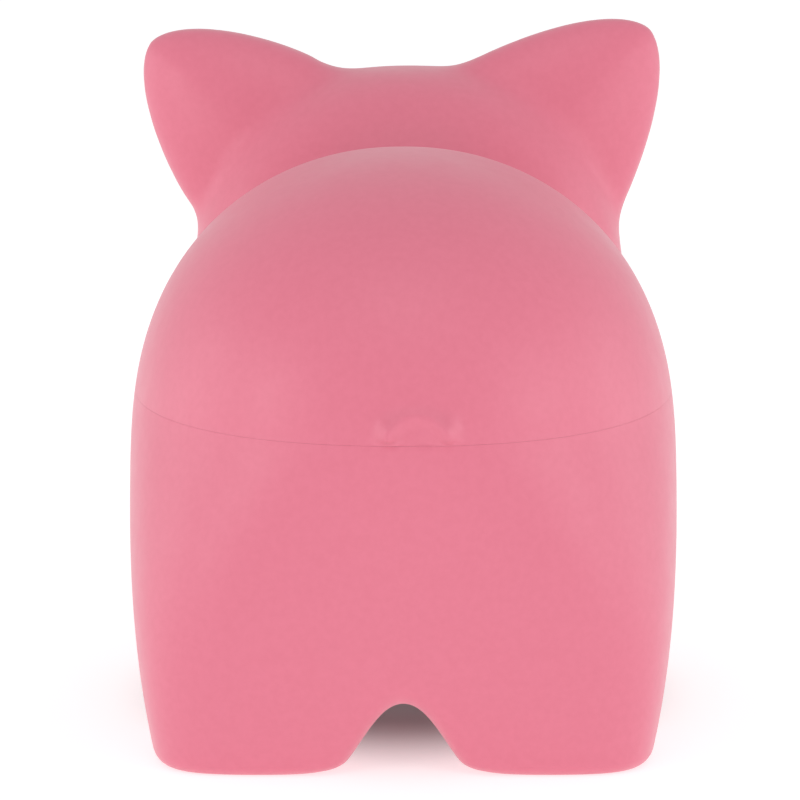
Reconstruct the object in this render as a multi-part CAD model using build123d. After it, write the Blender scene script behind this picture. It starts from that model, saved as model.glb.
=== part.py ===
"""A pig-shaped coin bank: two bonded shells, a coin slot, button eyes and a twist-lock belly stopper.

The pig faces -Y and stands on Z = 0, with the middle of its length and width on the Z axis.
Everything is in millimetres. Each sub-part is written to parts/NODE.step.
"""

import os
from math import cos, pi, sin

from build123d import *

# ---------------------------------------------------------------- driving dimensions
WALL = 3.0

# Body: plan outlines stacked in Z, rump towards +Y
BODY_Y = 15.5
BODY_HALF_WIDTH = 49.7
BODY_REAR = 48.0
BODY_FRONT = 58.0
BODY_WIDEST_Z = 47.0
BODY_TOP_Z = 104.8
BODY_DOME_POWER = 2.5
BODY_TAPER_POWER = 2.2
BODY_FOOT_TAPER = 0.1  # share of its width that the body loses from its widest level to the feet
FOOT_EDGE = 2.2
BODY_PLAN_POWER = 2.2
BODY_FOOT_PLAN_POWER = 6.0
SQUARER_BELOW_Z = 62.0
SQUARER_POWER = 1.5
BODY_SHARES = (0.26, 0.46, 0.62, 0.75, 0.86, 0.94, 0.985, 0.998)  # of the dome's height
HEAD_SHARES = (-0.995, -0.95, -0.82, -0.6, -0.3, 0, 0.3, 0.6, 0.82, 0.95, 0.995)

# Head: a rounded form whose upper half stands clear of the back, set a little to the pig's right
HEAD_X = -1.0
HEAD_Y = -30.5
HEAD_Z = 66.7
HEAD_HALF_WIDTH = 41.3
HEAD_HALF_DEPTH = 26.5
HEAD_HALF_HEIGHT = 46.8
HEAD_POWER = 2.3

# Snout, nostrils and tail
SNOUT_Z = 57.7
SNOUT_FRONT_Y = -63.5
SNOUT_HALF_WIDTH = 15.5
SNOUT_HALF_HEIGHT = 12.0
SNOUT_EDGE = 2.5
NOSTRIL_X = 5.6
NOSTRIL_HALF_WIDTH = 2.2
NOSTRIL_HALF_HEIGHT = 3.2
NOSTRIL_DEPTH = 2.4
TAIL_X = -2.5
TAIL_Z = 62.6
TAIL_RADIUS = 4.6
TAIL_THICKNESS = 1.9

# Ears: each grows from the side of the crown, up and outwards; the right one stands a little higher
EAR_ROOTS = {1: Vector(28.6, -31.5, 101.2), -1: Vector(-21.6, -30.0, 94.9)}
EAR_TIPS = {1: Vector(47.8, -35.0, 117.8), -1: Vector(-46.8, -35.0, 120.4)}
EAR_HALF_WIDTHS = {1: 18.2, -1: 22.3}
EAR_HALF_THICKNESS = 9.0
EAR_LENGTH = 42.0
EAR_SHARES = (0.0, 0.16, 0.32, 0.48, 0.62, 0.75, 0.86, 0.94, 0.985)  # of its whole length
EAR_TIP_POWER = 1.2
EAR_WIDTH_POWER = 1.7
EAR_THICKNESS_POWER = 2.4

# Parting line, seen from the side: level from the rump, then up through the ears
SEAM_Z = 60.7
SEAM_Y = -31.0
SEAM_BEND = 16.0
SEAM_LEAN = 6.0
LIP_HEIGHT = 2.5
LIP_THICKNESS = 1.4
LIP_CLEARANCE = 0.1
LIP_ROOT = 0.3

# Openings
SLOT_LENGTH = 30.0
SLOT_WIDTH = 5.0
SLOT_Y = -4.5
GAP_Y = 2.5
GAP_TOP_Z = 16.0
GAP_HALF_TOP = 20.0
GAP_HALF_FLOOR = 23.5
ARCH_HALF_WIDTH = 12.0
ARCH_HEIGHT = 13.1
ARCH_POWER = 0.565
HOLE_RADIUS = 16.0
COLLAR_RADIUS = 19.0
COLLAR_TOP_Z = 21.5

# Eyes
EYE_X = 19.0
EYE_Z = 75.0
EYE_RADIUS = 3.8
EYE_DOME = 2.0
EYE_SEAT = 1.0
EYE_STEM_RADIUS = 1.6
EYE_STEM_LENGTH = 5.5
EYE_TURN = 14.0

# Stopper
FIT = 0.07
FLANGE_RADIUS = 18.6
FLANGE_BOTTOM_Z = 13.4
FLANGE_EDGE = 0.8
FLANGE_GAP = 0.05
SKIRT_TOP_Z = 24.0
SKIRT_INNER = 14.2
PAD_INNER = 12.2
PAD_HALF_WIDTH = 5.0
RECESS_TOP_Z = FLANGE_BOTTOM_Z + 1.5
FLOOR_TOP_Z = RECESS_TOP_Z + 1.8
SLIT_WIDTH = 1.4
KNOB_RADIUS = 10.5
SHAFT_RADIUS = 4.0
STOP_PIN_ORBIT = 7.4
STOP_PIN_RADIUS = 0.9
GRIP_LENGTH = 17.5
GRIP_WIDTH = 4.2
GRIP_HEIGHT = 4.6
GRIP_CORNER = 1.6
GRIP_EDGE = 1.0
DISC_EDGE = 0.4
DISC_GAP = 0.3
DRIVE_SIDE = 5.0
DRIVE_HEIGHT = 4.6
CAM_LONG = 11.9
CAM_SHORT = 9.2
CAM_LOW_Z = FLOOR_TOP_Z + 0.3
CAM_HEIGHT = 4.0
HUB_RADIUS = 5.2
HUB_HEIGHT = 0.4


# ---------------------------------------------------------------- body and head outlines
def power_arc(share, power):
    """How wide a rounded form still is at this share of its height, both from 0 to 1."""
    return max(0.0, 1 - share**power) ** (1 / power)


def plan_outline(z, middle, half_width, rear, front, power, points=24):
    """A closed, rounded-square outline at height z; rear and front are its half lengths."""
    corners = []
    for i in range(points):
        turn = 2 * pi * i / points
        c, s = cos(turn), sin(turn)
        reach = (abs(c) ** power + abs(s) ** power) ** (-1 / power)
        length = rear if s >= 0 else front
        corners.append((middle[0] + half_width * reach * c, middle[1] + length * reach * s, z))
    return Face(Wire([Spline(*corners, periodic=True)]))


def body_scale(z, inset):
    """How large the body's outline is at height z, as a share of its widest one."""
    if z < BODY_WIDEST_Z:
        return 1 - BODY_FOOT_TAPER * ((BODY_WIDEST_Z - z) / BODY_WIDEST_Z) ** BODY_TAPER_POWER
    share = (z - BODY_WIDEST_Z) / (BODY_TOP_Z - inset - BODY_WIDEST_Z)
    return max(0.0, 1 - share**BODY_DOME_POWER) ** 0.5


def body(inset=0.0):
    """The body without its leg gaps, drawn in by inset on every side."""
    dome = BODY_TOP_Z - inset - BODY_WIDEST_Z
    levels = [inset, 15, 30, BODY_WIDEST_Z] + [BODY_WIDEST_Z + dome * s for s in BODY_SHARES]
    outlines = []
    for z in levels:
        scale = body_scale(z, inset)
        width = (BODY_HALF_WIDTH - inset) * scale
        squareness = max(0.0, 1 - z / SQUARER_BELOW_Z) ** SQUARER_POWER
        power = BODY_PLAN_POWER + squareness * (BODY_FOOT_PLAN_POWER - BODY_PLAN_POWER)
        rear, front = (BODY_REAR - inset) * scale, (BODY_FRONT - inset) * scale
        outlines.append(plan_outline(z, (0, BODY_Y), width, rear, front, power))
    blank = loft(outlines)
    return fillet(blank.faces().sort_by(Axis.Z)[0].edges(), FOOT_EDGE)


def head(inset=0.0):
    height = HEAD_HALF_HEIGHT - inset
    outlines = []
    for share in HEAD_SHARES:
        scale = power_arc(abs(share), HEAD_POWER)
        width = (HEAD_HALF_WIDTH - inset) * scale
        depth = (HEAD_HALF_DEPTH - inset) * scale
        outlines.append(
            plan_outline(HEAD_Z + height * share, (HEAD_X, HEAD_Y), width, depth, depth, HEAD_POWER)
        )
    return loft(outlines)


# ---------------------------------------------------------------- ears, snout, tail
def ear(side, inset=0.0):
    """One ear, a flattened cone from inside the crown to its rounded tip; side is 1 or -1."""
    root, tip = EAR_ROOTS[side], EAR_TIPS[side]
    along = tip - root
    across = Vector(0, 1, 0).cross(along).normalized()
    outlines = []
    lowest = 1 - EAR_LENGTH / along.length
    for part in EAR_SHARES:
        share = lowest + (1 - lowest) * part
        body_share = 1 - abs(share) ** EAR_TIP_POWER * (1 if share > 0 else -1)
        half_width = EAR_HALF_WIDTHS[side] * body_share ** (1 / EAR_WIDTH_POWER)
        half_depth = EAR_HALF_THICKNESS * body_share ** (1 / EAR_THICKNESS_POWER)
        if half_depth < inset + 1:
            break
        reach = share - inset / along.length if share > 0 else share
        plane = Plane(origin=root + along * reach, x_dir=across, z_dir=along)
        outlines.append(plane * Ellipse(half_width - inset, half_depth - inset))
    return loft(outlines)


def snout():
    depth = HEAD_HALF_DEPTH / 2
    plane = Plane(origin=(HEAD_X, SNOUT_FRONT_Y, SNOUT_Z), x_dir=(1, 0, 0), z_dir=(0, 1, 0))
    block = extrude(plane * Ellipse(SNOUT_HALF_WIDTH, SNOUT_HALF_HEIGHT), depth)
    return fillet(block.faces().sort_by(Axis.Y)[0].edges(), SNOUT_EDGE)


def nostrils():
    plane = Plane(origin=(HEAD_X, SNOUT_FRONT_Y - 1, SNOUT_Z), x_dir=(1, 0, 0), z_dir=(0, 1, 0))
    ovals = [
        Pos(side * NOSTRIL_X, 0) * Ellipse(NOSTRIL_HALF_WIDTH, NOSTRIL_HALF_HEIGHT)
        for side in (1, -1)
    ]
    return extrude(plane * (ovals[0] + ovals[1]), NOSTRIL_DEPTH + 1)


def tail():
    """The curl of the tail: an arch lying flat on the rump, just above the parting line."""
    ring = Torus(TAIL_RADIUS, TAIL_THICKNESS)
    rump_y = BODY_Y + BODY_REAR * body_scale(TAIL_Z, 0)
    ring = Pos(TAIL_X, rump_y - 0.4, TAIL_Z) * Rot(90, 0, 0) * ring
    above_seam = Pos(TAIL_X, rump_y, SEAM_Z + 10) * Box(30, 30, 20)
    return ring & above_seam


# ---------------------------------------------------------------- gaps between the legs
def lengthwise_gap(grow=0.0):
    """The bell-shaped gap between left and right legs, through the whole length."""
    half_width, height = ARCH_HALF_WIDTH + grow, ARCH_HEIGHT + grow
    right = []
    for share in (0.0, 0.06, 0.16, 0.3, 0.45, 0.6, 0.75, 0.88, 0.96):
        right.append((half_width * (1 - share**ARCH_POWER) ** 0.5, height * share))
    left = [(-x, z) for x, z in reversed(right)]
    bell = Spline(*right, (0, height), *left)
    floor = Polyline((-half_width, 0), (-half_width, -1), (half_width, -1), (half_width, 0))
    outline = make_face([bell, floor])
    return Pos(0, 80, 0) * Rot(90, 0, 0) * extrude(outline, 160)


def crosswise_gap(grow=0.0):
    """The arch between front and rear legs, as seen from the side; the belly is its flat top."""
    half_floor, half_top, height = GAP_HALF_FLOOR + grow, GAP_HALF_TOP + grow, GAP_TOP_Z + grow
    outline = make_face(
        Polyline(
            (-half_floor, -1),
            (-half_floor, 0),
            (-half_top, height),
            (half_top, height),
            (half_floor, 0),
            (half_floor, -1),
            close=True,
        )
    )
    return Pos(-70, GAP_Y, 0) * extrude(Plane.YZ * outline, 140)


# ---------------------------------------------------------------- the shells
def seam_region(shift=0.0):
    """Everything above and behind the parting line, moved up and back by shift."""
    bend = SEAM_BEND - shift
    level, upright = SEAM_Z + shift, SEAM_Y + shift
    bend_middle = (upright + bend, level + bend)
    far, top = 90, 150
    outline = make_face(
        [
            Line((far, level), (upright + bend, level)),
            ThreePointArc(
                (upright + bend, level),
                (bend_middle[0] - bend * cos(pi / 4), bend_middle[1] - bend * sin(pi / 4)),
                (upright, level + bend),
            ),
            Line((upright, level + bend), (upright - SEAM_LEAN, top)),
            Line((upright - SEAM_LEAN, top), (far, top)),
            Line((far, top), (far, level)),
        ]
    )
    return Pos(-80, 0, 0) * extrude(Plane.YZ * outline, 160)


def hollow(inset):
    """The space inside the walls, drawn in by inset from the outside."""
    space = body(inset) + head(inset)
    space = space + ear(1, inset) + ear(-1, inset)
    return space - lengthwise_gap(inset) - crosswise_gap(inset)


def coin_slot():
    """The coin slot, across the back in the dip between the body's crest and the head."""
    plane = Plane(origin=(0, SLOT_Y, BODY_TOP_Z - 12), x_dir=(1, 0, 0), z_dir=(0, 0, 1))
    return extrude(plane * SlotOverall(SLOT_LENGTH, SLOT_WIDTH), 20)


def shells():
    """The front shell and the back shell, and the place and axis of each eye."""
    outside = body() + head() + ear(1) + ear(-1) + snout() + tail()
    outside = outside - lengthwise_gap() - crosswise_gap() - nostrils()
    inside = hollow(WALL)
    collar = Pos(0, GAP_Y, GAP_TOP_Z) * Cylinder(
        COLLAR_RADIUS, COLLAR_TOP_Z - GAP_TOP_Z, align=(Align.CENTER, Align.CENTER, Align.MIN)
    )
    hole = Pos(0, GAP_Y, GAP_TOP_Z) * Cylinder(HOLE_RADIUS, 30)
    walls = outside - inside + collar - hole - coin_slot()
    for side in (1, -1):
        walls = walls - eye_at(side, eye_button(FIT))
    behind = seam_region()
    back = walls & behind
    front = walls - behind
    lip_inside = hollow(WALL + LIP_CLEARANCE + LIP_THICKNESS)
    band = seam_region(-LIP_HEIGHT) - seam_region(LIP_HEIGHT)
    lip = (hollow(WALL + LIP_CLEARANCE) & band) - lip_inside
    root = (hollow(WALL - LIP_ROOT) & (band - behind)) - lip_inside
    return front + root + lip, back


# ---------------------------------------------------------------- eyes
def eye_button(grow=0.0):
    """An eye along +Z, its seat under Z = 0 and its dome above, with the stem below."""
    seat = Pos(0, 0, -EYE_SEAT / 2) * Cylinder(EYE_RADIUS + grow, EYE_SEAT)
    ball = (EYE_RADIUS**2 + EYE_DOME**2) / (2 * EYE_DOME)
    dome = Pos(0, 0, EYE_DOME - ball) * Sphere(ball)
    dome = dome & Pos(0, 0, EYE_DOME / 2) * Cylinder(EYE_RADIUS, EYE_DOME)
    stem = Pos(0, 0, -EYE_SEAT - EYE_STEM_LENGTH / 2) * Cylinder(
        EYE_STEM_RADIUS + grow, EYE_STEM_LENGTH + 2 * grow
    )
    return seat + dome + stem


def eye_at(side, button):
    """Turns and moves a button to the eye socket on one side of the face."""
    across = EYE_X / HEAD_HALF_WIDTH
    height = power_arc(abs(EYE_Z - HEAD_Z) / HEAD_HALF_HEIGHT, HEAD_POWER)
    surface_y = HEAD_Y - HEAD_HALF_DEPTH * height * power_arc(across / height, HEAD_POWER)
    place = Pos(HEAD_X + side * EYE_X, surface_y + 0.2, EYE_Z)
    return place * Rot(0, 0, side * EYE_TURN) * Rot(90, 0, 0) * button


# ---------------------------------------------------------------- stopper
def ring(outer, inner, low, high):
    align = (Align.CENTER, Align.CENTER, Align.MIN)
    disc = Pos(0, GAP_Y, low) * Cylinder(outer, high - low, align=align)
    return disc - Pos(0, GAP_Y, low - 1) * Cylinder(inner, high - low + 2, align=align)


def rod(radius, low, high):
    align = (Align.CENTER, Align.CENTER, Align.MIN)
    return Pos(0, GAP_Y, low) * Cylinder(radius, high - low, align=align)


def stopper_plug():
    """The cup that fills the belly hole: a flange, a slit skirt, and a floor for the shaft."""
    flange_top = GAP_TOP_Z - FLANGE_GAP
    flange = rod(FLANGE_RADIUS, FLANGE_BOTTOM_Z, flange_top)
    flange = fillet(flange.edges().group_by(Axis.Z)[0], FLANGE_EDGE)
    skirt = ring(HOLE_RADIUS - FIT, SKIRT_INNER, FLANGE_BOTTOM_Z + 1, SKIRT_TOP_Z)
    cup = flange + skirt
    cup = cup - rod(SKIRT_INNER, FLOOR_TOP_Z, SKIRT_TOP_Z + 1)
    cup = cup + pads()
    cup = cup - rod(KNOB_RADIUS + DISC_GAP, FLANGE_BOTTOM_Z - 1, RECESS_TOP_Z)
    cup = cup - rod(SHAFT_RADIUS + FIT, FLANGE_BOTTOM_Z, FLOOR_TOP_Z + 1)
    depth = 2 * (SKIRT_TOP_Z - FLOOR_TOP_Z - 1)
    for turn in (45, 135):
        cup = cup - Pos(0, GAP_Y, SKIRT_TOP_Z) * Rot(0, 0, turn) * Box(SLIT_WIDTH, 50, depth)
    return cup - stop_groove()


def pads():
    """Two pads inside the skirt, which the ends of the cam press on when the stopper is locked."""
    band = ring(SKIRT_INNER + 0.5, PAD_INNER, FLOOR_TOP_Z - 0.1, SKIRT_TOP_Z - 1)
    return band & Pos(0, GAP_Y, SKIRT_TOP_Z) * Box(40, 2 * PAD_HALF_WIDTH, 40)


def stop_groove():
    """A quarter-circle groove through the floor, which the knob's stop pin runs in."""
    reach = STOP_PIN_RADIUS + 0.12
    low, high = RECESS_TOP_Z - 0.5, FLOOR_TOP_Z + 0.5
    band = ring(STOP_PIN_ORBIT + reach, STOP_PIN_ORBIT - reach, low, high)
    quarter = Pos(0, GAP_Y, low) * Box(20, 20, 10, align=(Align.MIN, Align.MIN, Align.MIN))
    groove = band & quarter
    for turn in (0, 90):
        groove = groove + stop_pin(turn, reach, low, high)
    return groove


def stop_pin(turn, radius, low, high):
    x, y = STOP_PIN_ORBIT * cos(turn * pi / 180), STOP_PIN_ORBIT * sin(turn * pi / 180)
    pin = Cylinder(radius, high - low, align=(Align.CENTER, Align.CENTER, Align.MIN))
    return Pos(x, GAP_Y + y, low) * pin


def stopper_knob():
    """The disc and grip outside the plug, with the shaft and the stop pin that go through it."""
    disc_low, disc_high = FLANGE_BOTTOM_Z - 0.2, RECESS_TOP_Z - 0.1
    disc = rod(KNOB_RADIUS, disc_low, disc_high)
    disc = chamfer(disc.edges().group_by(Axis.Z)[0], DISC_EDGE)
    hanging = (Align.CENTER, Align.CENTER, Align.MAX)
    standing = (Align.CENTER, Align.CENTER, Align.MIN)
    grip = Pos(0, GAP_Y, disc_low + 0.1) * Box(GRIP_LENGTH, GRIP_WIDTH, GRIP_HEIGHT, align=hanging)
    grip = fillet(grip.edges().filter_by(Axis.Z), GRIP_CORNER)
    grip = fillet(grip.edges().group_by(Axis.Z)[0], GRIP_EDGE)
    shaft = rod(SHAFT_RADIUS, disc_high - 0.1, FLOOR_TOP_Z + 0.2)
    drive = Box(DRIVE_SIDE, DRIVE_SIDE, DRIVE_HEIGHT, align=standing)
    drive = Pos(0, GAP_Y, FLOOR_TOP_Z + 0.1) * drive
    pin = stop_pin(0, STOP_PIN_RADIUS, disc_high - 0.1, FLOOR_TOP_Z - 0.2)
    return disc + grip + shaft + drive + pin


def stopper_cam():
    """The oval that spreads the skirt, with a square hole for the knob's shaft."""
    high = CAM_LOW_Z + CAM_HEIGHT
    plate = extrude(Pos(0, GAP_Y, CAM_LOW_Z) * Ellipse(CAM_LONG, CAM_SHORT), CAM_HEIGHT)
    hub = rod(HUB_RADIUS, high - 0.5, high + HUB_HEIGHT)
    square = Pos(0, GAP_Y, CAM_LOW_Z) * Box(DRIVE_SIDE + 0.04, DRIVE_SIDE + 0.04, 20)
    return plate + hub - square


# ---------------------------------------------------------------- write every node
def main():
    os.makedirs("parts", exist_ok=True)
    front, back = shells()
    nodes = {
        "front_shell": front,
        "back_shell": back,
        "left_eye": eye_at(1, eye_button()),
        "right_eye": eye_at(-1, eye_button()),
        "stopper_plug": stopper_plug(),
        "stopper_knob": stopper_knob(),
        "stopper_cam": stopper_cam(),
    }
    for name, shape in nodes.items():
        export_step(shape, f"parts/{name}.step")
        solids = shape.solids()
        print(name, len(solids), round(sum(s.volume for s in solids)), shape.bounding_box().size)


main()
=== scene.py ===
import math

import bpy
import bmesh
import numpy as np
import openvdb
from mathutils import Matrix, Vector


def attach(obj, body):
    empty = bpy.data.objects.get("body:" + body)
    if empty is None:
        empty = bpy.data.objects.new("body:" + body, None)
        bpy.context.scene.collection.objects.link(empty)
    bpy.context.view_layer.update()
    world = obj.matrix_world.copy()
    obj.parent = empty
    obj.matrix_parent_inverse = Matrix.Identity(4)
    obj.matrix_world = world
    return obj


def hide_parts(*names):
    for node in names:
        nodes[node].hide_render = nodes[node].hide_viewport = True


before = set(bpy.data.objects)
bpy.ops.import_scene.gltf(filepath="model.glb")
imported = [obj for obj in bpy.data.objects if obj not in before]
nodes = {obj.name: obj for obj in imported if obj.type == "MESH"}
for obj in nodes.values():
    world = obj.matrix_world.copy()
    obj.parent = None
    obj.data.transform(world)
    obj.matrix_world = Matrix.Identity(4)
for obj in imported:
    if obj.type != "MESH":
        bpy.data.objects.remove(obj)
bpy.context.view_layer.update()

# The pig is worked out in millimetres and stands as its CAD frame does: it faces -Y, on Z = 0.
MM = 0.001

# ---------------------------------------------------------------- sizes, in millimetres
WALL = 3.0
BODY_Y = 15.5
BODY_HALF_WIDTH = 49.6
BODY_REAR = 48.0
BODY_FRONT = 58.0
BODY_WIDEST_Z = 47.0
BODY_TOP_Z = 104.7
BODY_DOME_POWER = 2.5
BODY_PLAN_POWER = 2.2
FOOT_PLAN_POWER = 8.0
FOOT_TAPER = 0.1
FOOT_TAPER_POWER = 2.2
FOOT_EDGE = 2.2
SQUARER_BELOW_Z = 62
SQUARER_POWER = 1.5

HEAD = np.array([-1.0, -30.5, 66.7])
HEAD_HALF = np.array([41.3, 26.5, 46.8])
HEAD_POWER = 2.3
NECK_BLEND = 5.0

# Each ear: its root, its tip and its half width at the root; the right one stands a little higher
EARS = {
    1: (Vector((28.6, -31.5, 101.2)), Vector((47.8, -35.0, 117.7)), 18.2),
    -1: (Vector((-21.6, -30.0, 94.9)), Vector((-46.7, -35.0, 120.2)), 22.3),
}
EAR_HALF_THICKNESS = 9.0
EAR_LENGTH = 42.0
EAR_BLEND = 4.5
EAR_TIP_RADIUS = 3
EAR_WIDTH_POWER = 1.7
EAR_THICKNESS_POWER = 2.4
EAR_LENGTH_POWER = 1.2
SCOOP_SHARE = 0.52
SCOOP_FORWARD = 13.6
SCOOP_HALF = (11.0, 9.5, 15.0)
SCOOP_RIM = 3.0

SNOUT = np.array([-1.0, -63.5, 57.7])
SNOUT_HALF_WIDTH = 15.5
SNOUT_HALF_HEIGHT = 12.0
SNOUT_DEPTH = 14
SNOUT_RIM = 2.6
SNOUT_BLEND = 3.0
NOSTRIL_X = 5.6
NOSTRIL_HALF = (2.2, 2.4, 3.3)
NOSTRIL_RIM = 1.4

ARCH_HALF_WIDTH = 12.0
ARCH_HEIGHT = 12.8
ARCH_BLEND = 9.0
ARCH_POWER = 0.565
GAP_Y = 2.5
GAP_TOP_Z = 16.0
GAP_HALF_LENGTH = 20.0
GAP_FLARE = 3.5
GAP_CORNER = 5.0
GAP_RIM = 4.0

SLOT_LENGTH = 30.0
SLOT_WIDTH = 5.0
SLOT_Y = -4.5
SLOT_BOTTOM_Z = 90.0
SLOT_RIM = 3.2

TAIL_X = -2.4
TAIL_Z = 61.2
TAIL_HALF_WIDTH = 5.3
TAIL_HEIGHT = 4.6
TAIL_THICKNESS = 1.5
# The tail's two heavier ends: side, how far each stands out, and their shared height and half sizes
TAIL_ENDS = ((-1, 0.8), (1, 0.7))
TAIL_END_Z = 2.6
TAIL_END_HALF = (1.7, 2.0)
# The pits under the tail: place and half sizes
TAIL_PITS = ((4.4, -0.1, 1.2, 0.6), (-1.2, -0.1, 1.4, 0.8))
TAIL_PIT_DEPTH = 0.35

HOLE_RADIUS = 16.0
COLLAR_RADIUS = 19.0
COLLAR_TOP_Z = 21.5

EYE_X = 19.0
EYE_Z = 75.0
EYE_RADIUS = 3.8
EYE_STEM_RADIUS = 1.6
EYE_STEM_LENGTH = 10
EYE_SEAT = 1.0
EYE_CLEARANCE = 0.12
EYE_TURN = math.radians(14)

SEAM_Z = 60.7
SEAM_Y = -31.0
SEAM_BEND = 16.0
SEAM_LEAN = 6.0
SEAM_RISE = 0.025
SEAM_GAP = 0.014
SEAM_BEND_STEPS = 24
# The block that takes everything above the parting line reaches past the pig on every side
BLOCK_HALF_X = 80
BLOCK_Y = 90.0
BLOCK_Z = 150.0

GRID_LOW = (-56, -68, -3)
GRID_HIGH = (56, 68, 127)
GRID_STEP = 0.8
CAVITY_STEP = 1.7
ON_SKIN = 0.08
SKIN_AGREES = 0.55

# ---------------------------------------------------------------- light and camera, in metres and watts
WORLD_LIGHT = 0.67
FLOOR_SIZE = 8
# Painted light: the floor glows, which brightens the lower legs; its glow is weakest at the floor's middle, a
# painted shadow under the pig.
FLOOR_GLOW = (0.05, 0.62)
FLOOR_GLOW_REACH = (0.02, 0.056)
# Each light: place, the point it faces, size and power. The side lights stand on both sides.
HEAD_LIGHT = ((0, 0.5, 0.75), (0, -0.03, 0.10), 0.35, 0.45)
SIDE_LIGHTS = {
    "haunch": ((0.75, 0.62, 0.30), (0, 0, 0.07), 0.3, 1.1),
    "flank": ((0.95, 0.02, 0.16), (0, 0, 0.05), 0.6, 1.6),
}
CAMERA_DISTANCE = 0.9
CAMERA_RISE = math.radians(12)
CAMERA_AIM = Vector((0.0006, 0.010, 0.0577))
VIEW_WIDTH = 0.1468


# ---------------------------------------------------------------- fields: distances, below 0 inside
def soft_union(a, b, reach):
    """Joins two forms with a fillet that begins where they are reach apart."""
    mix = np.maximum(reach - np.abs(a - b), 0) / reach
    return np.minimum(a, b) - mix**3 * reach / 6


def soft_cut(a, b, reach):
    """Takes form b out of form a, with the rim rounded."""
    return -soft_union(-a, b, reach)


def round_both(a, b, radius):
    """Where two forms overlap, with the corner between them rounded."""
    corner = np.hypot(np.maximum(radius + a, 0), np.maximum(radius + b, 0))
    return np.minimum(-radius, np.maximum(a, b)) + corner


def superellipsoid(x, y, z, half, power):
    total = np.abs(x / half[0]) ** power + np.abs(y / half[1]) ** power + np.abs(z / half[2]) ** power
    share = total ** (1 / power)
    reach = np.sqrt(x * x + y * y + z * z)
    return reach * (1 - 1 / np.maximum(share, 1e-4))


def body_field(x, y, z):
    y = y - BODY_Y
    below = np.maximum(BODY_WIDEST_Z - z, 0) / BODY_WIDEST_Z
    slim = 1 - FOOT_TAPER * below**FOOT_TAPER_POWER
    squarer = np.clip(1 - z / SQUARER_BELOW_Z, 0, 1) ** SQUARER_POWER
    power = BODY_PLAN_POWER + (FOOT_PLAN_POWER - BODY_PLAN_POWER) * squarer
    half_y = np.where(y > 0, BODY_REAR, BODY_FRONT)
    total = np.abs(x / (BODY_HALF_WIDTH * slim)) ** power + np.abs(y / (half_y * slim)) ** power
    plan = total ** (1 / power)
    up = np.maximum(z - BODY_WIDEST_Z, 0)
    share = np.sqrt(plan**2 + (up / (BODY_TOP_Z - BODY_WIDEST_Z)) ** BODY_DOME_POWER)
    reach = np.sqrt(x * x + y * y + up * up)
    return reach * (1 - 1 / np.maximum(share, 1e-4))


def head_field(x, y, z):
    return superellipsoid(x - HEAD[0], y - HEAD[1], z - HEAD[2], HEAD_HALF, HEAD_POWER)


def ear_frame(side):
    """Root point and the three directions of an ear: along it, across its width, through it."""
    root, tip, _ = EARS[side]
    along = (tip - root).normalized()
    across = Vector((0, 1, 0)).cross(along).normalized()
    return root, along, across, along.cross(across), (tip - root).length


def ear_field(x, y, z, side):
    root, along, across, through, length = ear_frame(side)
    half_width = EARS[side][2]
    x, y, z = x - root.x, y - root.y, z - root.z
    s = (x * along.x + y * along.y + z * along.z) / length
    u = np.abs(x * across.x + y * across.y + z * across.z) / half_width
    v = np.abs(x * through.x + y * through.y + z * through.z) / EAR_HALF_THICKNESS
    pu, pv, ps = EAR_WIDTH_POWER, EAR_THICKNESS_POWER, EAR_LENGTH_POWER
    value = u**pu + v**pv + np.sign(s) * np.abs(s) ** ps - 1
    slope_u = pu * u ** (pu - 1) / half_width
    slope_v = pv * v ** (pv - 1) / EAR_HALF_THICKNESS
    slope_s = ps * np.maximum(np.abs(s), 0.3) ** (ps - 1) / length
    cone = value / np.sqrt(slope_u**2 + slope_v**2 + slope_s**2)
    return round_both(cone, (1 - s) * length - EAR_LENGTH, EAR_TIP_RADIUS)


def ear_scoop(x, y, z, side):
    """The shallow dish in the front of an ear."""
    root, along, across, through, length = ear_frame(side)
    middle = root + along * length * SCOOP_SHARE - Vector((0, 1, 0)) * SCOOP_FORWARD
    x, y, z = x - middle.x, y - middle.y, z - middle.z
    s = x * along.x + y * along.y + z * along.z
    u = x * across.x + y * across.y + z * across.z
    v = x * through.x + y * through.y + z * through.z
    return superellipsoid(u, v, s, SCOOP_HALF, 2.0)


def snout_field(x, y, z):
    x, y, z = x - SNOUT[0], y - SNOUT[1], z - SNOUT[2]
    share = np.sqrt((x / SNOUT_HALF_WIDTH) ** 2 + (z / SNOUT_HALF_HEIGHT) ** 2)
    side = np.hypot(x, z) * (1 - 1 / np.maximum(share, 1e-4))
    return round_both(round_both(side, -y, SNOUT_RIM), y - SNOUT_DEPTH, 1)


def nostril_field(x, y, z, side):
    x, y, z = x - SNOUT[0] - side * NOSTRIL_X, y - SNOUT[1], z - SNOUT[2]
    return superellipsoid(x, y, z, NOSTRIL_HALF, 2.0)


def arch_field(x, z):
    """The bell-shaped gap between left and right legs."""
    height = np.maximum(z, 0.4) / ARCH_HEIGHT
    value = (x / ARCH_HALF_WIDTH) ** 2 + height**ARCH_POWER - 1
    slope_x = 2 * x / ARCH_HALF_WIDTH**2
    slope_z = ARCH_POWER * height ** (ARCH_POWER - 1) / ARCH_HEIGHT
    return value / np.sqrt(slope_x**2 + slope_z**2)


def belly_gap_field(y, z):
    """The gap between front and rear legs, with the belly as its flat top."""
    flare = GAP_FLARE * np.clip(1 - z / GAP_TOP_Z, 0, 1) ** 2
    return round_both(np.abs(y - GAP_Y) - GAP_HALF_LENGTH - flare, z - GAP_TOP_Z, GAP_CORNER)


def slot_field(x, y, z):
    """The coin slot, an upright prism through the top of the back."""
    straight = (SLOT_LENGTH - SLOT_WIDTH) / 2
    side = np.hypot(y - SLOT_Y, np.maximum(np.abs(x) - straight, 0)) - SLOT_WIDTH / 2
    return np.maximum(side, SLOT_BOTTOM_Z - z)


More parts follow.
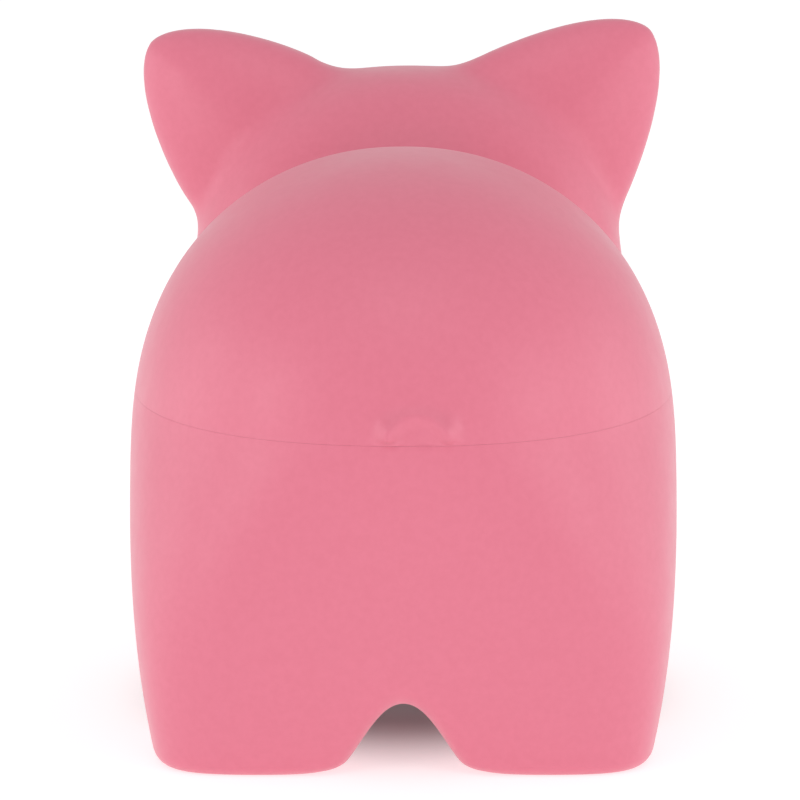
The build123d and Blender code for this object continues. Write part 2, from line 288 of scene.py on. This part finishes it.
def mound(x, z, at_x, at_z, half_x, half_z):
    """A smooth rise of height 1 round one point."""
    return np.exp(-(((x - at_x) / half_x) ** 2) - ((z - at_z) / half_z) ** 2)


def tail_relief(x, y, z):
    """How far the tail stands out of the rump: a low curl with heavier ends, just over the parting line."""
    x, z = x - TAIL_X, z - TAIL_Z
    ring = np.sqrt((x / TAIL_HALF_WIDTH) ** 2 + (np.maximum(z, 0) / TAIL_HEIGHT) ** 2)
    off = (ring - 1) * (TAIL_HALF_WIDTH + TAIL_HEIGHT) / 2
    outwards = np.minimum(np.abs(x) / TAIL_HALF_WIDTH, 1.2)
    raised = np.exp(-((off / TAIL_THICKNESS) ** 2)) * (0.6 + 0.4 * outwards)
    for side, out in TAIL_ENDS:
        raised = raised + out * mound(x, z, side * TAIL_HALF_WIDTH, TAIL_END_Z, *TAIL_END_HALF)
    pits = sum(mound(x, z, *pit) for pit in TAIL_PITS)
    fade = np.clip((z + 0.5) / 1.2, 0, 1)
    return np.where(y > BODY_Y, raised * fade * fade * (3 - 2 * fade) - TAIL_PIT_DEPTH * pits, 0)


def skin(x, y, z):
    """The pig's outer form without its snout, slot and tail."""
    form = soft_union(body_field(x, y, z), head_field(x, y, z), NECK_BLEND)
    for side in (1, -1):
        ear = soft_cut(ear_field(x, y, z, side), ear_scoop(x, y, z, side), SCOOP_RIM)
        form = soft_union(form, ear, EAR_BLEND)
    form = soft_cut(form, arch_field(x, z), ARCH_BLEND)
    form = soft_cut(form, belly_gap_field(y, z), GAP_RIM)
    return round_both(form, -z, FOOT_EDGE)


def outside(x, y, z):
    """The whole outer form of the pig."""
    form = soft_union(skin(x, y, z), snout_field(x, y, z), SNOUT_BLEND)
    for side in (1, -1):
        form = soft_cut(form, nostril_field(x, y, z, side), NOSTRIL_RIM)
    form = form - tail_relief(x, y, z)
    return soft_cut(form, slot_field(x, y, z), SLOT_RIM)


def cavity(x, y, z):
    """The space inside the walls, which leaves out the collar round the belly hole."""
    collar = np.maximum(np.hypot(x, y - GAP_Y) - COLLAR_RADIUS, z - COLLAR_TOP_Z)
    return np.maximum(skin(x, y, z) + WALL, -collar)


# ---------------------------------------------------------------- from field to mesh
def field_normal(field, points, step=0.05):
    """The field's slope at each point, which is the surface's normal where the point lies on it."""
    x, y, z = points.T
    return np.stack(
        [
            field(x + step, y, z) - field(x - step, y, z),
            field(x, y + step, z) - field(x, y - step, z),
            field(x, y, z + step) - field(x, y, z - step),
        ],
        1,
    ) / (2 * step)


def mesh_of(field, low, high, step, level=0.0):
    """Quads on the surface where field equals level, each corner moved onto the surface itself."""
    axes = [np.arange(a, b + step, step, dtype=np.float32) for a, b in zip(low, high)]
    x, y, z = np.meshgrid(*axes, indexing="ij", sparse=True)
    values = np.asarray(field(x, y, z) + 0 * (x + y + z), dtype=np.float32)
    grid = openvdb.FloatGrid(3.0)
    grid.copyFromArray(values)
    points, quads = grid.convertToQuads(isovalue=level)
    points = np.asarray(points, dtype=np.float64) * step + np.array([a[0] for a in axes])
    quads = np.asarray(quads, dtype=np.int64)
    for _ in range(2):
        slope = field_normal(field, points)
        gap = field(*points.T) - level
        points = points - slope * (gap / (slope**2).sum(1).clip(0.05))[:, None]
    a, b, c, d = (points[quads[:, i]] for i in range(4))
    volume = (np.cross(b - a, c - a) * a).sum() + (np.cross(c - a, d - a) * a).sum()
    if volume < 0:
        quads = quads[:, ::-1]
    return points, quads


def new_object(name, points, faces):
    mesh = bpy.data.meshes.new(name)
    mesh.from_pydata((np.asarray(points) * MM).tolist(), [], np.asarray(faces).tolist() if len(faces) else [])
    mesh.update()
    made = bpy.data.objects.new(name, mesh)
    bpy.context.scene.collection.objects.link(made)
    return made


def combine(base, tool, kind):
    """Applies one Boolean to base and takes the tool away."""
    cut = base.modifiers.new("cut", "BOOLEAN")
    cut.operation = kind
    cut.solver = "MANIFOLD"
    cut.object = tool
    bpy.context.view_layer.update()
    shape = bpy.data.meshes.new_from_object(base.evaluated_get(bpy.context.evaluated_depsgraph_get()))
    base.modifiers.clear()
    old = base.data
    base.data = shape
    bpy.data.meshes.remove(old)
    bpy.data.objects.remove(tool)


def rod(name, centre, axis, radius, low, high, sides=128):
    """A closed cylinder along axis, from low to high past its centre, in millimetres."""
    bm = bmesh.new()
    bmesh.ops.create_cone(
        bm, cap_ends=True, segments=sides, radius1=radius * MM, radius2=radius * MM, depth=(high - low) * MM
    )
    axis = Vector(axis).normalized()
    turn = axis.to_track_quat("Z", "Y").to_matrix().to_4x4()
    place = Matrix.Translation((Vector(centre) + axis * (low + high) / 2) * MM)
    bmesh.ops.transform(bm, matrix=place @ turn, verts=bm.verts)
    mesh = bpy.data.meshes.new(name)
    bm.to_mesh(mesh)
    bm.free()
    made = bpy.data.objects.new(name, mesh)
    bpy.context.scene.collection.objects.link(made)
    return made


def power_arc(share, power):
    return max(0.0, 1 - share**power) ** (1 / power)


def eye_place(side):
    """The point and the outward direction of an eye's seat."""
    height = power_arc((EYE_Z - HEAD[2]) / HEAD_HALF[2], HEAD_POWER)
    depth = HEAD_HALF[1] * height * power_arc(EYE_X / HEAD_HALF[0] / height, HEAD_POWER)
    point = Vector((HEAD[0] + side * EYE_X, HEAD[1] - depth + 0.2, EYE_Z))
    return point, Vector((side * math.sin(EYE_TURN), -math.cos(EYE_TURN), 0))


def seam_profile(shift=0.0):
    """The parting line seen from the side, as (y, z) points from the rump to over the crown."""
    bend = SEAM_BEND - shift
    upright = SEAM_Y + shift
    rear = SEAM_Z + shift
    level = rear + SEAM_RISE * (BODY_Y + BODY_REAR - upright - bend)
    points = [(BLOCK_Y, rear - SEAM_RISE * (BLOCK_Y - BODY_Y - BODY_REAR))]
    for i in range(SEAM_BEND_STEPS + 1):
        turn = math.pi / 2 * i / SEAM_BEND_STEPS
        points.append((upright + bend - bend * math.sin(turn), level + bend - bend * math.cos(turn)))
    points.append((upright - SEAM_LEAN, BLOCK_Z))
    return points


def behind_seam(name, shift):
    """A closed block that holds everything above and behind the parting line."""
    outline = seam_profile(shift) + [(BLOCK_Y, BLOCK_Z)]
    count = len(outline)
    points = [(x, y, z) for x in (-BLOCK_HALF_X, BLOCK_HALF_X) for y, z in outline]
    faces = [list(range(count)), list(range(2 * count - 1, count - 1, -1))]
    for i in range(count):
        j = (i + 1) % count
        faces.append([i, i + count, j + count, j])
    block = new_object(name, [], [])
    bm = bmesh.new()
    corners = [bm.verts.new(Vector(p) * MM) for p in points]
    for face in faces:
        bm.faces.new([corners[i] for i in face])
    bmesh.ops.recalc_face_normals(bm, faces=bm.faces)
    bm.to_mesh(block.data)
    bm.free()
    return block


def corners_of(mesh):
    flat = np.empty(len(mesh.vertices) * 3)
    mesh.vertices.foreach_get("co", flat)
    return flat.reshape(-1, 3) / MM


def smooth_skin(shell):
    """Gives the outer skin the normals of the form itself, and leaves every cut face crisp."""
    mesh = shell.data
    points = corners_of(mesh)
    slope = field_normal(outside, points, 0.02)
    slope /= np.linalg.norm(slope, axis=1).clip(1e-6)[:, None]
    near = np.abs(outside(*points.T)) < ON_SKIN
    count = len(mesh.loops)
    corner = np.empty(count, dtype=np.int64)
    mesh.loops.foreach_get("vertex_index", corner)
    size = np.empty(len(mesh.polygons), dtype=np.int64)
    mesh.polygons.foreach_get("loop_total", size)
    face = np.empty(len(mesh.polygons) * 3)
    mesh.polygons.foreach_get("normal", face)
    face = np.repeat(face.reshape(-1, 3), size, axis=0)
    agrees = near[corner] & ((slope[corner] * face).sum(1) > SKIN_AGREES)
    normals = np.where(agrees[:, None], slope[corner], face)
    mesh.shade_smooth()
    mesh.normals_split_custom_set(normals.tolist())


def make_shells():
    step = GRID_STEP
    whole = new_object("whole", *mesh_of(outside, GRID_LOW, GRID_HIGH, step))
    inner = new_object("inner", *mesh_of(cavity, GRID_LOW, GRID_HIGH, CAVITY_STEP))
    combine(whole, inner, "DIFFERENCE")
    combine(whole, rod("hole", (0, GAP_Y, 0), (0, 0, 1), HOLE_RADIUS, 10, 30, 192), "DIFFERENCE")
    for side in (1, -1):
        point, outward = eye_place(side)
        seat = rod("seat", point, outward, EYE_RADIUS + EYE_CLEARANCE, -EYE_SEAT - 0.1, 6, 96)
        combine(whole, seat, "DIFFERENCE")
        stem = rod("stem", point, outward, EYE_STEM_RADIUS + EYE_CLEARANCE, -EYE_STEM_LENGTH, 1, 48)
        combine(whole, stem, "DIFFERENCE")
    back = bpy.data.objects.new("shell_back", whole.data.copy())
    bpy.context.scene.collection.objects.link(back)
    whole.name = "shell_front"
    combine(back, behind_seam("above", SEAM_GAP), "INTERSECT")
    combine(whole, behind_seam("below", -SEAM_GAP), "DIFFERENCE")
    for shell in (whole, back):
        smooth_skin(shell)
        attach(shell, "shell")
    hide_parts("front_shell")
    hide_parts("back_shell")
    return whole, back


# ---------------------------------------------------------------- materials
def new_material(name):
    mat = bpy.data.materials.new(name)
    mat.use_nodes = True
    return mat, mat.node_tree, mat.node_tree.nodes["Principled BSDF"]


def noise(tree, scale, detail=3.0, rough=0.5):
    place = tree.nodes.new("ShaderNodeTexCoord")
    made = tree.nodes.new("ShaderNodeTexNoise")
    made.inputs["Scale"].default_value = scale
    made.inputs["Detail"].default_value = detail
    made.inputs["Roughness"].default_value = rough
    tree.links.new(place.outputs["Object"], made.inputs["Vector"])
    return made.outputs["Fac"]


def blend_colours(tree, factor, first, second):
    ramp = tree.nodes.new("ShaderNodeValToRGB")
    ramp.color_ramp.elements[0].position = 0.32
    ramp.color_ramp.elements[1].position = 0.68
    ramp.color_ramp.elements[0].color = (*first, 1)
    ramp.color_ramp.elements[1].color = (*second, 1)
    tree.links.new(factor, ramp.inputs["Fac"])
    return ramp.outputs["Color"]


def spread(tree, factor, low, high):
    made = tree.nodes.new("ShaderNodeMapRange")
    made.inputs["From Min"].default_value = 0.3
    made.inputs["From Max"].default_value = 0.7
    made.inputs["To Min"].default_value = low
    made.inputs["To Max"].default_value = high
    tree.links.new(factor, made.inputs["Value"])
    return made.outputs["Result"]


def bump(tree, height, strength, distance, shader):
    made = tree.nodes.new("ShaderNodeBump")
    made.inputs["Strength"].default_value = strength
    made.inputs["Distance"].default_value = distance
    tree.links.new(height, made.inputs["Height"])
    tree.links.new(made.outputs["Normal"], shader.inputs["Normal"])


def plastic(name, first, second, rough, mottle=260.0, grain=2600.0, strength=0.12):
    """A moulded plastic with a faint mottle, a little uneven sheen and a fine grain."""
    mat, tree, shader = new_material(name)
    tree.links.new(blend_colours(tree, noise(tree, mottle), first, second), shader.inputs["Base Color"])
    uneven = spread(tree, noise(tree, mottle / 3), rough - 0.03, rough + 0.04)
    tree.links.new(uneven, shader.inputs["Roughness"])
    bump(tree, noise(tree, grain, 2.0), strength, 0.00004, shader)
    return mat, shader


PINK, pink_shader = plastic("shell_pink", (0.738, 0.174, 0.254), (0.758, 0.184, 0.268), 0.43, 700.0)
pink_shader.inputs["Sheen Weight"].default_value = 0.22
pink_shader.inputs["Sheen Roughness"].default_value = 0.5
EYE_BLACK, _ = plastic("eye_black", (0.008, 0.008, 0.009), (0.014, 0.013, 0.014), 0.1, 500.0, 900.0, 0.03)
PLUG_GREY, _ = plastic("plug_grey", (0.30, 0.30, 0.31), (0.36, 0.36, 0.37), 0.55, 400.0, 1800.0, 0.2)
KNOB_WHITE, _ = plastic("knob_white", (0.60, 0.60, 0.575), (0.66, 0.66, 0.64), 0.4, 300.0, 2200.0, 0.12)


def paint(thing, mat):
    if thing.data.materials:
        for i in range(len(thing.data.materials)):
            thing.data.materials[i] = mat
    else:
        thing.data.materials.append(mat)


for piece in make_shells():
    paint(piece, PINK)
for name, mat in (
    ("left_eye", EYE_BLACK),
    ("right_eye", EYE_BLACK),
    ("stopper_plug", PLUG_GREY),
    ("stopper_knob", KNOB_WHITE),
    ("stopper_cam", KNOB_WHITE),
):
    paint(nodes[name], mat)


# ---------------------------------------------------------------- stage, lights and camera
def make_stage():
    bpy.ops.mesh.primitive_plane_add(size=FLOOR_SIZE)
    floor = bpy.context.object
    floor.name = "floor"
    mat, tree, shader = new_material("floor")
    colour = blend_colours(tree, noise(tree, 3.0), (0.57, 0.57, 0.57), (0.59, 0.59, 0.59))
    tree.links.new(colour, shader.inputs["Base Color"])
    shader.inputs["Roughness"].default_value = 0.85
    shader.inputs["Specular IOR Level"].default_value = 0.2
    # Painted light: the floor glows, and its glow fades towards the middle, a painted shadow under the pig.
    shader.inputs["Emission Color"].default_value = (1, 1, 1, 1)
    place = tree.nodes.new("ShaderNodeTexCoord")
    away = tree.nodes.new("ShaderNodeVectorMath")
    away.operation = "LENGTH"
    tree.links.new(place.outputs["Object"], away.inputs[0])
    glow = tree.nodes.new("ShaderNodeMapRange")
    glow.interpolation_type = "SMOOTHSTEP"
    glow.inputs["From Min"].default_value, glow.inputs["From Max"].default_value = FLOOR_GLOW_REACH
    glow.inputs["To Min"].default_value, glow.inputs["To Max"].default_value = FLOOR_GLOW
    tree.links.new(away.outputs["Value"], glow.inputs["Value"])
    tree.links.new(glow.outputs["Result"], shader.inputs["Emission Strength"])
    floor.data.materials.append(mat)
    world = bpy.data.worlds.new("studio")
    bpy.context.scene.world = world
    world.use_nodes = True
    world.node_tree.nodes["Background"].inputs["Color"].default_value = (1, 1, 1, 1)
    world.node_tree.nodes["Background"].inputs["Strength"].default_value = WORLD_LIGHT


def area_light(name, place, aim, size, power):
    data = bpy.data.lights.new(name, "AREA")
    data.size = size
    data.energy = power
    light = bpy.data.objects.new(name, data)
    bpy.context.scene.collection.objects.link(light)
    light.location = place
    light.rotation_euler = (Vector(aim) - Vector(place)).to_track_quat("-Z", "Y").to_euler()


def make_camera():
    data = bpy.data.cameras.new("camera")
    data.lens = data.sensor_width * CAMERA_DISTANCE / VIEW_WIDTH
    camera = bpy.data.objects.new("camera", data)
    bpy.context.scene.collection.objects.link(camera)
    back = Vector((0, math.cos(CAMERA_RISE), math.sin(CAMERA_RISE)))
    camera.location = CAMERA_AIM + back * CAMERA_DISTANCE
    camera.rotation_euler = (-back).to_track_quat("-Z", "Y").to_euler()
    bpy.context.scene.camera = camera


make_stage()
make_camera()
area_light("head", *HEAD_LIGHT)
for side in (1, -1):
    for name, ((x, y, z), aim, size, power) in SIDE_LIGHTS.items():
        area_light(name, (side * x, y, z), aim, size, power)
bpy.context.scene.view_settings.view_transform = "Standard"
